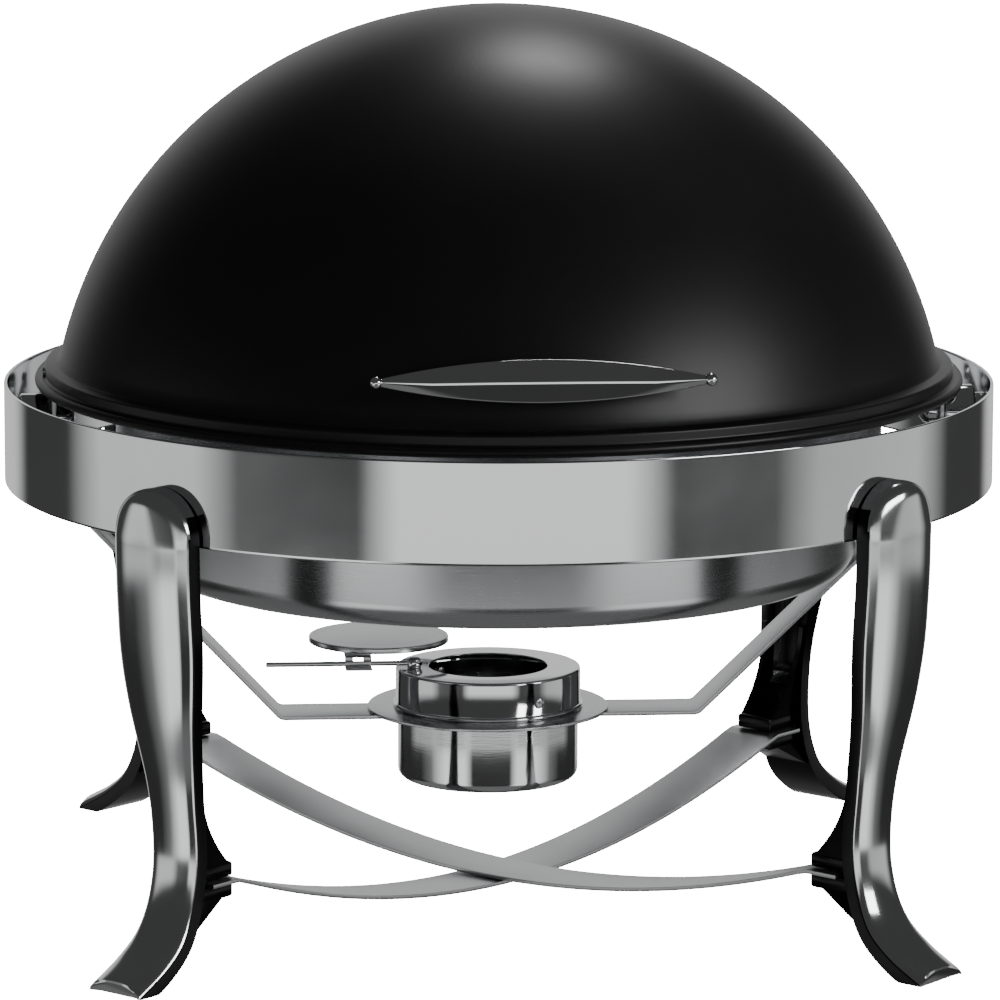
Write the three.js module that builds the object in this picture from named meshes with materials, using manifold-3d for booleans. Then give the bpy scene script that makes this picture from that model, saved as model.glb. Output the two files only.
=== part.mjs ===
// Roll top chafer: a domed lid that rolls back inside a round ring, a food pan in a water pan, four cast
// legs tied by two crossed braces, and a fuel burner with a swinging snuffer on a bent arm.
// Millimetres, +Z up, origin on the ground under the middle. The handle is on the -Y side.
import * as THREE from "three";
import { mergeVertices } from "three/addons/utils/BufferGeometryUtils.js";
import Module from "manifold-3d";

const wasm = await Module();
wasm.setup();

// ---------------------------------------------------------------- driving dimensions
const GAP = 0.3; // between pieces that touch
const SHEET = 2; // thickness of braces, arms, brackets and ears
const SCREW_RADIUS = 2.5; // shank of every screw and handle stud
const SCREW_HOLE = SCREW_RADIUS + GAP;

const RING_RADIUS = 240;
const RING_WALL = 1.8;
const RING_BOTTOM = 207;
const RING_TOP = 255;
const RING_INNER = RING_RADIUS - RING_WALL;

const PIVOT_Z = 237;
const LID_RADIUS = 218.4;
const LID_TOP = 436;
const LID_CENTRE_Z = LID_TOP - LID_RADIUS;
const LID_WALL = 1.5;
const LID_SHOULDER_Z = 265; // where the dome meets the upright band
const LID_BAND_RADIUS = 220;
const LID_BEAD_RADIUS = 225;
const LID_BOTTOM_Z = 254;

const HANDLE_LENGTH = 158;
const HANDLE_HEIGHT = 21;
const HANDLE_DEPTH = 7;
const HANDLE_REACH = 233.5; // ridge of the handle, from the centre of the dome
const HANDLE_TILT = THREE.MathUtils.degToRad(18);
const HANDLE_OFFSET_X = 4;
const HANDLE_STUD_X = 38;

const EAR_WIDTH = 24;
const EAR_OUTER_X = 216.9;
const EAR_TOP_Z = 261.2;

const SUPPORT_TOP = 211;
const SUPPORT_INNER = 176.3;
const SUPPORT_OUTER = 190;
const BRACKET_WIDTH = 28;

const PAN_SHEET = 1.2;
const WATER_PAN_RADIUS = 174;
const WATER_PAN_BOTTOM = 163;
const WATER_PAN_CORNER = 12;
const WATER_PAN_UPPER_RADIUS = 186; // above the step that rests on the support ring
const WATER_PAN_TOP = 255.2;
const PAN_RIM_RADIUS = 191;
const FOOD_PAN_FLANGE = 188;
const FOOD_PAN_RADIUS = 168;
const FOOD_PAN_MOUTH_RADIUS = 181;
const FOOD_PAN_BOTTOM = 192;
const FOOD_PAN_CORNER = 10;
const FOOD_PAN_TOP = 257;

const LEG_ANGLE = THREE.MathUtils.degToRad(44.3); // from the front or back centre line
const LEG_HALF_WAIST = 14;
const LEG_HALF_TOP = 23;
const LEG_HALF_FOOT = 16;
const LEG_TOP = 233.5;
const LEG_WALL_DEPTH = 5.7; // side walls behind the crowned face
const LEG_CROWN = 0.4; // crown height as a part of the half width
const LEG_CASTING = 3.2; // wall thickness of the casting
const TOE_RADIUS = 275.5;

const SOCKET_INNER = 205;
const SOCKET_Z = 44;
const SOCKET_HEIGHT = 17;
const SOCKET_HALF_WIDTH = 10.5;
const BRACE_WIDTH = 31;
const BRACE_MIDDLE_Z = 9.7;
const BRACE_SCREW_AT = 216; // distance of the brace screws from the middle
const BRACE_TIP = 224;

const BURNER_X = -5;
const ARM_Z = 90.7; // top of the level part of the arm
const ARM_WIDTH = 30;
const ARM_BEND = 102;
const ARM_FOOT_INNER = 217;
const ARM_FOOT_OUTER = 231;
const PLATE_RADIUS = 59;
const CUP_RADIUS = 44.2;
const CUP_BOTTOM = 56.8;
const CUP_TOP = 106;
const CUP_CORNER = 5;
const CUP_CLEARANCE = 0.7; // between the cup and the hole that it hangs in
const CUP_WALL = 0.8;
const COLLAR_RADIUS = 45.3;
const COLLAR_TOP = 112;
const COLLAR_HOLE = 29;

const SNUFFER_RADIUS = 34.5;
const SNUFFER_TOP = 122;
const SNUFFER_SKIRT = 3;
const SNUFFER_PIVOT = new THREE.Vector2(-36.5, -4); // from the burner's axis
const SNUFFER_OPEN = new THREE.Vector2(-15.5, 33); // disc centre from the pivot, swung open
const LEVER_RADIUS = 1.25;
const LEVER_LENGTH = 72.5;
const LEVER_Z = 114.3;

// ---------------------------------------------------------------- materials
const metal = (color, roughness) =>
  new THREE.MeshStandardMaterial({ color, roughness, metalness: 1 });
const blackCoat = new THREE.MeshStandardMaterial({ color: 0x0c0c0d, roughness: 0.45, metalness: 0.1 });
const polishedSteel = metal(0xb9bbbd, 0.12);
const satinSteel = metal(0xa3a5a7, 0.35);
const chrome = metal(0xd8dadc, 0.06);
const fastenerSteel = metal(0x8f9193, 0.3);

// ---------------------------------------------------------------- geometry helpers
// One closed surface with shared vertices and its faces pointing out.
function closed(geometry) {
  const bare = geometry.clone();
  bare.deleteAttribute("normal");
  bare.deleteAttribute("uv");
  const merged = mergeVertices(bare, 1e-4);
  const at = (i) => new THREE.Vector3().fromBufferAttribute(merged.attributes.position, i);
  const index = merged.index.array;
  let volume = 0;
  for (let i = 0; i < index.length; i += 3) {
    volume += at(index[i]).dot(at(index[i + 1]).cross(at(index[i + 2])));
  }
  if (volume < 0) {
    for (let i = 0; i < index.length; i += 3) {
      [index[i + 1], index[i + 2]] = [index[i + 2], index[i + 1]];
    }
  }
  return merged;
}

function toSolid(geometry) {
  const { attributes, index } = closed(geometry);
  return new wasm.Manifold(
    new wasm.Mesh({
      numProp: 3,
      vertProperties: new Float32Array(attributes.position.array),
      triVerts: new Uint32Array(index.array),
    }),
  );
}

function toGeometry(solid) {
  const { vertProperties, triVerts } = solid.getMesh();
  return new THREE.BufferGeometry()
    .setAttribute("position", new THREE.BufferAttribute(vertProperties, 3))
    .setIndex(new THREE.BufferAttribute(triVerts, 1));
}

const join = (first, ...rest) =>
  toGeometry(rest.reduce((solid, other) => solid.add(toSolid(other)), toSolid(first)));
const cut = (first, ...tools) =>
  toGeometry(tools.reduce((solid, tool) => solid.subtract(toSolid(tool)), toSolid(first)));

// A profile of [radius, height] pairs turned round the Z axis.
function turned(profile, segments = 48) {
  const points = profile.map(([r, z]) => new THREE.Vector2(r, z));
  return closed(new THREE.LatheGeometry(points, segments).rotateX(Math.PI / 2));
}

// A profile that doesn't touch the axis, closed on itself.
const turnedLoop = (profile, segments) => turned([...profile, profile[0]], segments);

// An outline in the XZ plane, given as a shape, with its thickness centred on Y = 0.
function acrossY(shape, width, curveSegments = 8) {
  const options = { depth: width, bevelEnabled: false, curveSegments };
  return closed(new THREE.ExtrudeGeometry(shape, options).rotateX(Math.PI / 2).translate(0, width / 2, 0));
}

// An outline in the XY plane that rises from z.
function upright(shape, z, height, curveSegments = 16) {
  const options = { depth: height, bevelEnabled: false, curveSegments };
  return closed(new THREE.ExtrudeGeometry(shape, options).translate(0, 0, z));
}

function outline(points) {
  return new THREE.Shape(points.map(([x, y]) => new THREE.Vector2(x, y)));
}

// The outline of a bent sheet: its middle line, thickened by half the sheet on each side.
function sheetOutline(middle, thickness) {
  const side = (sign) =>
    middle.map(([x, z], i) => {
      const [x0, z0] = middle[Math.max(i - 1, 0)];
      const [x1, z1] = middle[Math.min(i + 1, middle.length - 1)];
      const length = Math.hypot(x1 - x0, z1 - z0);
      const half = (sign * thickness) / 2;
      return [x - ((z1 - z0) / length) * half, z + ((x1 - x0) / length) * half];
    });
  return outline([...side(1), ...side(-1).reverse()]);
}

function boxBetween([x0, y0, z0], [x1, y1, z1]) {
  const box = new THREE.BoxGeometry(x1 - x0, y1 - y0, z1 - z0);
  return box.translate((x0 + x1) / 2, (y0 + y1) / 2, (z0 + z1) / 2);
}

const cylinderZ = (radius, z0, z1, segments = 16) =>
  new THREE.CylinderGeometry(radius, radius, z1 - z0, segments)
    .rotateX(Math.PI / 2)
    .translate(0, 0, (z0 + z1) / 2);
const cylinderX = (radius, x0, x1, segments = 16) =>
  new THREE.CylinderGeometry(radius, radius, x1 - x0, segments)
    .rotateZ(Math.PI / 2)
    .translate((x0 + x1) / 2, 0, 0);

// A skin over sections with equal numbers of points, with flat ends.
function loft(sections) {
  const count = sections[0].length;
  const points = sections.flat();
  const middle = (section) =>
    section.reduce((sum, p) => sum.add(p), new THREE.Vector3()).divideScalar(count);
  const index = [];
  for (let s = 0; s + 1 < sections.length; s++) {
    for (let i = 0; i < count; i++) {
      const a = s * count + i;
      const b = s * count + ((i + 1) % count);
      index.push(a, b, a + count, b, b + count, a + count);
    }
  }
  for (const [s, turn] of [[0, 1], [sections.length - 1, 0]]) {
    const centre = points.push(middle(sections[s])) - 1;
    for (let i = 0; i < count; i++) {
      const a = s * count + i;
      const b = s * count + ((i + 1) % count);
      index.push(centre, ...(turn ? [b, a] : [a, b]));
    }
  }
  return closed(new THREE.BufferGeometry().setFromPoints(points).setIndex(index));
}

function part(name, geometry, material) {
  const mesh = new THREE.Mesh(closed(geometry), material);
  mesh.name = name;
  mesh.geometry.computeVertexNormals();
  return mesh;
}

function placed(object, x = 0, y = 0, z = 0, turn = 0) {
  object.position.set(x, y, z);
  object.rotation.z = turn;
  return object;
}

// ---------------------------------------------------------------- the four corners
const CORNERS = [
  ["front_left", -Math.PI / 2 - LEG_ANGLE],
  ["front_right", -Math.PI / 2 + LEG_ANGLE],
  ["rear_right", Math.PI / 2 - LEG_ANGLE],
  ["rear_left", Math.PI / 2 + LEG_ANGLE],
];
const SIDES = [
  ["right", 0],
  ["left", Math.PI],
];

// ---------------------------------------------------------------- ring
const LEG_SCREW_HEIGHTS = [["lower", 214], ["upper", 225]];

function ring() {
  const band = turnedLoop(
    [
      [RING_INNER, RING_BOTTOM],
      [RING_RADIUS, RING_BOTTOM],
      [RING_RADIUS, RING_TOP],
      [RING_INNER, RING_TOP],
    ],
    64,
  );
  const holes = CORNERS.flatMap(([, angle]) =>
    LEG_SCREW_HEIGHTS.map(([, z]) =>
      cylinderX(SCREW_HOLE, RING_INNER - 3, RING_RADIUS + 3, 12)
        .translate(0, 0, z)
        .rotateZ(angle),
    ),
  );
  return part("ring", cut(band, ...holes), polishedSteel);
}

// ---------------------------------------------------------------- legs
// The edge of a leg's crowned face in its own upright plane, from beyond the toe to the arch.
const LEG_EDGE = new THREE.CatmullRomCurve3(
  [
    [290, -8],
    [274.5, 0],
    [256, 10],
    [242.4, 22],
    [234.8, 40],
    [232.3, 60],
    [235, 90],
    [241.3, 130],
    [245.2, 180],
    [246, 211],
  ].map(([r, z]) => new THREE.Vector3(r, 0, z)),
);
const ARCH_Z = LEG_TOP - LEG_HALF_TOP;
const BRACE_SCREW_TOP = SOCKET_Z + 5;

function legHalfWidth(z) {
  const widening = THREE.MathUtils.smoothstep(z, 75, 165);
  const flare = 1 - THREE.MathUtils.smoothstep(z, 5, 40);
  return (
    LEG_HALF_WAIST + (LEG_HALF_TOP - LEG_HALF_WAIST) * widening + (LEG_HALF_FOOT - LEG_HALF_WAIST) * flare
  );
}

// One section: a crowned face of the given half width and crown, and two straight side walls.
function legSection(edge, outward, halfWidth, crown, depth, points = 8) {
  const at = (y, out) => edge.clone().addScaledVector(outward, out).setY(y);
  const section = [at(halfWidth, -depth)];
  for (let i = 0; i <= points; i++) {
    const a = (Math.PI * i) / points;
    section.push(at(halfWidth * Math.cos(a), crown * Math.sin(a)));
  }
  section.push(at(-halfWidth, -depth));
  return section;
}

function legStation(t) {
  const edge = LEG_EDGE.getPointAt(t);
  const tangent = LEG_EDGE.getTangentAt(t);
  return { edge, outward: new THREE.Vector3(tangent.z, 0, -tangent.x) };
}

function legCasting() {
  const sections = [];
  const steps = 18;
  for (let i = 0; i < steps; i++) {
    const { edge, outward } = legStation(i / steps);
    const half = legHalfWidth(edge.z);
    sections.push(legSection(edge, outward, half, LEG_CROWN * half, LEG_WALL_DEPTH));
  }
  const top = LEG_EDGE.getPointAt(1);
  const radial = new THREE.Vector3(1, 0, 0);
  for (const degrees of [0, 20, 38, 54, 68, 78, 86]) {
    const a = THREE.MathUtils.degToRad(degrees);
    const edge = new THREE.Vector3(top.x, 0, ARCH_Z + LEG_HALF_TOP * Math.sin(a));
    const half = LEG_HALF_TOP * Math.cos(a);
    const crown = LEG_CROWN * LEG_HALF_TOP * Math.sqrt(1 - Math.sin(a) ** 8);
    sections.push(legSection(edge, radial, half, crown, LEG_WALL_DEPTH));
  }
  return loft(sections);
}

// The hollow behind the face, open to the back, from the socket up to the ring.
function legHollow() {
  const sections = [];
  const [start, end] = [0.36, 0.93]; // parts of the edge's length
  const steps = 9;
  for (let i = 0; i <= steps; i++) {
    const { edge, outward } = legStation(THREE.MathUtils.lerp(start, end, i / steps));
    const half = legHalfWidth(edge.z) - LEG_CASTING;
    sections.push(legSection(edge, outward, half, LEG_CROWN * half - 1, LEG_WALL_DEPTH + 4, 6));
  }
  return loft(sections);
}

// The block that grips a brace end, with two webs that rise from it into the leg's side walls.
function legSocket() {
  const low = SOCKET_Z - SOCKET_HEIGHT / 2;
  const high = SOCKET_Z + SOCKET_HEIGHT / 2;
  const blockOuter = 232; // inside the leg's crowned face
  const webTop = high + 42;
  const block = boxBetween([SOCKET_INNER, -SOCKET_HALF_WIDTH, low], [blockOuter, SOCKET_HALF_WIDTH, high]);
  const web = new THREE.Shape();
  web.moveTo(SOCKET_INNER + 1, high - 1);
  web.quadraticCurveTo(blockOuter - 6, high + 6, blockOuter - 2, webTop);
  web.lineTo(blockOuter, webTop);
  web.lineTo(blockOuter, high - 1);
  const webs = acrossY(web, 2 * LEG_HALF_WAIST - 0.4, 5);
  const between = boxBetween(
    [SOCKET_INNER - 5, LEG_CASTING - LEG_HALF_WAIST, high],
    [blockOuter + 1, LEG_HALF_WAIST - LEG_CASTING, webTop + 10],
  );
  return join(block, cut(webs, between));
}

function leg(name) {
  const slotHalf = SHEET / 2 + GAP + 0.1;
  const slot = boxBetween(
    [SOCKET_INNER - 5, -ARM_WIDTH, SOCKET_Z - slotHalf],
    [BRACE_TIP + 2, ARM_WIDTH, SOCKET_Z + slotHalf],
  );
  const braceHole = cylinderZ(SCREW_HOLE, SOCKET_Z - 20, BRACE_SCREW_TOP + 0.5, 12);
  braceHole.translate(BRACE_SCREW_AT, 0, 0);
  const screwHoles = LEG_SCREW_HEIGHTS.map(([, z]) =>
    cylinderX(SCREW_HOLE, RING_RADIUS - 3, RING_RADIUS + 7, 12).translate(0, 0, z),
  );
  const far = 400; // clear of everything
  const ground = boxBetween([BRACE_SCREW_AT - 60, -far, -far], [far, far, 0]);
  const beyondToe = boxBetween([TOE_RADIUS, -far, -far], [far, far, far]);
  const casting = join(cut(legCasting(), legHollow()), legSocket());
  return part(name, cut(casting, slot, braceHole, ...screwHoles, ground, beyondToe), chrome);
}

// A pan head screw that points along +X, its head's flat face at x.
function screwX(name, x, length) {
  const head = 4.2;
  const profile = [
    [0, -2.6],
    [head * 0.7, -2.4],
    [head, -1.4],
    [head, 0],
    [SCREW_RADIUS, 0],
    [SCREW_RADIUS, length],
    [0, length],
  ];
  return part(name, turned(profile, 12).rotateY(Math.PI / 2).translate(x, 0, 0), fastenerSteel);
}

function corner([where, angle]) {
  const group = new THREE.Group();
  group.add(leg(`leg_${where}`));
  for (const [level, z] of LEG_SCREW_HEIGHTS) {
    group.add(placed(screwX(`leg_screw_${where}_${level}`, RING_INNER - GAP - 0.4, 7.5), 0, 0, z));
  }
  group.add(braceScrew(`brace_screw_${where}`));
  group.rotation.z = angle;
  return group;
}

// ---------------------------------------------------------------- braces
// A flat strip from socket to socket, level in the sockets and bowed down between them.
function brace(name, middleZ, angle) {
  const bowEnd = SOCKET_INNER - 5;
  const rise = SOCKET_Z - middleZ;
  const middle = [[-BRACE_TIP, SOCKET_Z], [-SOCKET_INNER, SOCKET_Z]];
  const steps = 16;
  for (let i = 0; i <= steps; i++) {
    const x = THREE.MathUtils.lerp(-bowEnd, bowEnd, i / steps);
    middle.push([x, middleZ + rise * (x / SOCKET_INNER) ** 2]);
  }
  middle.push([SOCKET_INNER, SOCKET_Z], [BRACE_TIP, SOCKET_Z]);
  const strip = acrossY(sheetOutline(middle, SHEET), BRACE_WIDTH);
  const holes = [-1, 1].map((side) =>
    cylinderZ(SCREW_HOLE, SOCKET_Z - 10, SOCKET_Z + 10, 12).translate(side * BRACE_SCREW_AT, 0, 0),
  );
  return placed(part(name, cut(strip, ...holes), satinSteel), 0, 0, 0, angle);
}

function braceScrew(name) {
  const headTop = SOCKET_Z - SOCKET_HEIGHT / 2 - GAP;
  const profile = [
    [0, headTop - 2.8],
    [3.2, headTop - 2.6],
    [4.4, headTop - 1.4],
    [4.4, headTop],
    [SCREW_RADIUS, headTop],
    [SCREW_RADIUS, BRACE_SCREW_TOP],
    [0, BRACE_SCREW_TOP],
  ];
  return placed(part(name, turned(profile, 12), fastenerSteel), BRACE_SCREW_AT);
}

// ---------------------------------------------------------------- pan support and pans
const BRACKET_TOP = SUPPORT_TOP - SHEET - GAP;
const ARM_SCREW_X = 224.5;

function supportRing() {
  const bottom = SUPPORT_TOP - SHEET;
  const profile = [
    [SUPPORT_INNER, bottom],
    [SUPPORT_OUTER, bottom],
    [SUPPORT_OUTER, SUPPORT_TOP],
    [SUPPORT_INNER, SUPPORT_TOP],
  ];
  return part("pan_support_ring", turnedLoop(profile), satinSteel);
}

// An angle bracket on the inside of the ring, under a pivot.
function supportBracket(name, turn) {
  const wallX = RING_INNER - 1.4; // the flat tab clears the round wall at its sides
  const tabTop = BRACKET_TOP + 9;
  const half = BRACKET_WIDTH / 2;
  const shelf = boxBetween([SUPPORT_INNER + 3, -half, BRACKET_TOP - SHEET], [wallX, half, BRACKET_TOP]);
  const tab = boxBetween([wallX - SHEET, -half, BRACKET_TOP - SHEET], [wallX, half, tabTop]);
  const hole = cylinderZ(SCREW_HOLE, BRACKET_TOP - 10, BRACKET_TOP + 5, 12).translate(ARM_SCREW_X, 0, 0);
  return placed(part(name, cut(join(shelf, tab), hole), satinSteel), 0, 0, 0, turn);
}

function quarterArc(cx, cz, radius, from, to, steps) {
  const points = [];
  for (let i = 0; i <= steps; i++) {
    const a = THREE.MathUtils.degToRad(THREE.MathUtils.lerp(from, to, i / steps));
    points.push([cx + radius * Math.cos(a), cz + radius * Math.sin(a)]);
  }
  return points;
}

// The outer pan holds the hot water: a deep lower part, a step that rests on the support ring, and an
// upper wall with a flat rim.
function waterPan() {
  const r = WATER_PAN_RADIUS;
  const bend = WATER_PAN_CORNER;
  const t = PAN_SHEET;
  const step = SUPPORT_TOP + GAP;
  const cornerZ = WATER_PAN_BOTTOM + bend;
  const profile = [
    [0, WATER_PAN_BOTTOM],
    ...quarterArc(r - bend, cornerZ, bend, -90, 0, 5),
    [r, step],
    [WATER_PAN_UPPER_RADIUS, step],
    [WATER_PAN_UPPER_RADIUS, WATER_PAN_TOP - 2],
    [PAN_RIM_RADIUS, WATER_PAN_TOP - 2],
    [PAN_RIM_RADIUS, WATER_PAN_TOP],
    [WATER_PAN_UPPER_RADIUS - t, WATER_PAN_TOP],
    [WATER_PAN_UPPER_RADIUS - t, step + t],
    [r - t, step + t],
    ...quarterArc(r - bend, cornerZ, bend - t, 0, -90, 5),
    [0, WATER_PAN_BOTTOM + t],
  ];
  return part("water_pan", turned(profile), satinSteel);
}

// The inner pan holds the food and hangs by its flange on the water pan's rim.
function foodPan() {
  const r = FOOD_PAN_RADIUS;
  const bend = FOOD_PAN_CORNER;
  const t = PAN_SHEET;
  const flangeLow = WATER_PAN_TOP + GAP;
  const cornerZ = FOOD_PAN_BOTTOM + bend;
  const profile = [
    [0, FOOD_PAN_BOTTOM],
    ...quarterArc(r - bend, cornerZ, bend, -90, 0, 5),
    [FOOD_PAN_MOUTH_RADIUS, flangeLow],
    [FOOD_PAN_FLANGE, flangeLow],
    [FOOD_PAN_FLANGE, FOOD_PAN_TOP],
    [FOOD_PAN_MOUTH_RADIUS - t, FOOD_PAN_TOP],
    ...quarterArc(r - bend, cornerZ, bend - t, 0, -90, 5),
    [0, FOOD_PAN_BOTTOM + t],
  ];
  return part("food_pan", turned(profile), satinSteel);
}

// ---------------------------------------------------------------- pivots
const JOURNAL_RADIUS = 4;
const HUB_RADIUS = 12;
const HUB_OUTER_X = 232.5;
const HUB_FOOT_RADIUS = 8;
const JOURNAL_END_X = 211;
const NUT_RADIUS = 7;
const NUT_END_X = 205.5;

// A stud on the ring's inner wall: foot, neck, thick hub, and a journal that the lid's ear turns on.
function pivotStud(name, turn) {
  const hubInner = EAR_OUTER_X + 0.4;
  const wallX = RING_INNER - 0.4;
  const profile = [
    [0, JOURNAL_END_X],
    [JOURNAL_RADIUS, JOURNAL_END_X],
    [JOURNAL_RADIUS, hubInner],
    [HUB_RADIUS - 1, hubInner],
    [HUB_RADIUS, hubInner + 1],
    [HUB_RADIUS, HUB_OUTER_X - 1],
    [HUB_RADIUS - 1, HUB_OUTER_X],
    [HUB_FOOT_RADIUS, HUB_OUTER_X],
    [HUB_FOOT_RADIUS, wallX],
    [0, wallX],
  ];
  const stud = turned(profile, 24).rotateY(Math.PI / 2).translate(0, 0, PIVOT_Z);
  return placed(part(name, stud, chrome), 0, 0, 0, turn);
}

// A domed nut on the journal, inside the ear.
function pivotNut(name, turn) {
  const seat = EAR_OUTER_X - SHEET - 0.4;
  const floor = JOURNAL_END_X - 0.5;
  const profile = [
    [0, NUT_END_X],
    [NUT_RADIUS / 2, NUT_END_X + 0.5],
    [NUT_RADIUS - 0.8, NUT_END_X + 2.5],
    [NUT_RADIUS, NUT_END_X + 4.5],
    [NUT_RADIUS, seat],
    [JOURNAL_RADIUS + GAP, seat],
    [JOURNAL_RADIUS + GAP, floor],
    [0, floor],
  ];
  const nut = turned(profile, 12).rotateY(Math.PI / 2).translate(0, 0, PIVOT_Z);
  return placed(part(name, nut, chrome), 0, 0, 0, turn);
}

// ---------------------------------------------------------------- lid
const EAR_RIVET_Y = 7;
const EAR_RIVET_Z = 259.4;
const EAR_RIVET_RADIUS = 1;
const EAR_RIVET_HEAD = 1.7;

// A hole for an ear rivet, on the side that the turn points to.
const earRivetHole = (y, turn) =>
  cylinderX(EAR_RIVET_RADIUS + GAP, 205, 230, 10).translate(0, y, EAR_RIVET_Z).rotateZ(turn);

// A frame with its origin on the dome's centre and +X out through the middle of the handle.
function towardsHandle(geometry) {
  return geometry
    .rotateY(-HANDLE_TILT)
    .rotateZ(-Math.PI / 2)
    .translate(HANDLE_OFFSET_X, 0, LID_CENTRE_Z);
}

function lidShell() {
  const shoulderAngle = THREE.MathUtils.radToDeg(Math.asin((LID_SHOULDER_Z - LID_CENTRE_Z) / LID_RADIUS));
  const innerBand = LID_BAND_RADIUS - LID_WALL;
  const beadTop = LID_BOTTOM_Z + 3;
  const profile = [
    ...quarterArc(0, LID_CENTRE_Z, LID_RADIUS, 90, shoulderAngle, 12),
    [LID_BAND_RADIUS - 2, LID_SHOULDER_Z - 1],
    [LID_BAND_RADIUS, LID_SHOULDER_Z - 3],
    [LID_BAND_RADIUS, beadTop + 0.6],
    [LID_BEAD_RADIUS, beadTop],
    [LID_BEAD_RADIUS, LID_BOTTOM_Z + 0.8],
    [LID_BEAD_RADIUS - 1, LID_BOTTOM_Z],
    [innerBand, LID_BOTTOM_Z],
    [innerBand, LID_SHOULDER_Z - 3.4],
    ...quarterArc(0, LID_CENTRE_Z, LID_RADIUS - LID_WALL, shoulderAngle - 0.3, 90, 12),
  ];
  profile[0][0] = 0;
  profile[profile.length - 1][0] = 0;
  const studHoles = [-1, 1].map((side) =>
    towardsHandle(cylinderX(SCREW_HOLE, 195, 228, 12).translate(0, side * HANDLE_STUD_X, 0)),
  );
  const earHoles = SIDES.flatMap(([, turn]) =>
    [-1, 1].map((side) => earRivetHole(side * EAR_RIVET_Y, turn)),
  );
  return part("lid_shell", cut(turned(profile, 56), ...studHoles, ...earHoles), blackCoat);
}

// The handle is a pointed bar with a ridge at the front, a ball on each tip and two studs.
function handle() {
  const ballRadius = 2.9;
  const tipHalfHeight = 1.6;
  const half = HANDLE_LENGTH / 2 - 3;
  const backX = HANDLE_REACH - HANDLE_DEPTH;
  const sections = [];
  const steps = 12;
  for (let i = 0; i <= steps; i++) {
    const t = THREE.MathUtils.lerp(-1, 1, i / steps);
    const swell = 1 - t * t;
    const h = THREE.MathUtils.lerp(tipHalfHeight, HANDLE_HEIGHT / 2, swell);
    const ridge = HANDLE_REACH - 3 * (1 - swell);
    const outlineXZ = [[ridge, 0], [backX + 2, h], [backX, h * 0.85], [backX, -h * 0.85], [backX + 2, -h]];
    sections.push(outlineXZ.map(([x, z]) => new THREE.Vector3(x, t * half, z)));
  }
  const ball = (side) =>
    new THREE.SphereGeometry(ballRadius, 12, 8).translate(
      backX + 2.4,
      side * (HANDLE_LENGTH / 2 - ballRadius),
      0,
    );
  const spacerRadius = 4.5;
  const studEnd = 204; // inside the dome, past the nut
  const dome = Math.sqrt(LID_RADIUS ** 2 - (HANDLE_STUD_X - spacerRadius) ** 2);
  const studs = [-1, 1].map((side) => {
    const shank = cylinderX(SCREW_RADIUS, studEnd, backX + 1, 12);
    const spacer = cylinderX(spacerRadius, dome + GAP, backX + 1, 12);
    return join(shank, spacer).translate(0, side * HANDLE_STUD_X, 0);
  });
  const bar = join(loft(sections), ball(-1), ball(1), ...studs);
  return part("handle", towardsHandle(bar), chrome);
}

// A nut inside the dome, on one of the handle's studs.
function handleNut(name, side) {
  const high = Math.sqrt((LID_RADIUS - LID_WALL) ** 2 - HANDLE_STUD_X ** 2) - 2;
  const low = high - 5;
  const nut = cut(cylinderX(5, low, high, 6), cylinderX(SCREW_HOLE, low - 2, high + 5, 12));
  return part(name, towardsHandle(nut.translate(0, side * HANDLE_STUD_X, 0)), fastenerSteel);
}

// A plate that hangs from the lid's band, with a half round lower end and the hole for the journal.
function lidEar(name, turn) {
  const half = EAR_WIDTH / 2;
  const plate = new THREE.Shape();
  plate.moveTo(half, EAR_TOP_Z);
  plate.lineTo(half, PIVOT_Z);
  plate.absarc(0, PIVOT_Z, half, 0, -Math.PI, true);
  plate.lineTo(-half, EAR_TOP_Z);
  const sheet = upright(plate, 0, SHEET, 12)
    .rotateX(Math.PI / 2)
    .rotateZ(Math.PI / 2)
    .translate(EAR_OUTER_X - SHEET, 0, 0);
  const journal = cylinderX(JOURNAL_RADIUS + GAP, 200, 230, 24).translate(0, 0, PIVOT_Z);
  const holes = [-1, 1].map((side) => earRivetHole(side * EAR_RIVET_Y, 0));
  return placed(part(name, cut(sheet, journal, ...holes), satinSteel), 0, 0, 0, turn);
}

// A rivet that holds an ear to the inside of the lid's band.
function earRivet(name, y, turn) {
  const outer = LID_BAND_RADIUS + 0.3;
  const inner = EAR_OUTER_X - SHEET - 0.3;
  const profile = [
    [0, inner - 1],
    [EAR_RIVET_HEAD - 0.4, inner - 0.8],
    [EAR_RIVET_HEAD, inner],
    [EAR_RIVET_RADIUS, inner],
    [EAR_RIVET_RADIUS, outer],
    [EAR_RIVET_HEAD, outer],
    [EAR_RIVET_HEAD - 0.4, outer + 0.8],
    [0, outer + 1],
  ];
  const rivet = turned(profile, 10).rotateY(Math.PI / 2).translate(0, y, EAR_RIVET_Z);
  return placed(part(name, rivet, fastenerSteel), 0, 0, 0, turn);
}

// ---------------------------------------------------------------- burner arm
const ARM_FOOT_Z = BRACKET_TOP - SHEET - GAP;
const PLATE_LOW = ARM_Z + GAP;
const PLATE_TOP = PLATE_LOW + 1.5;

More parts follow.
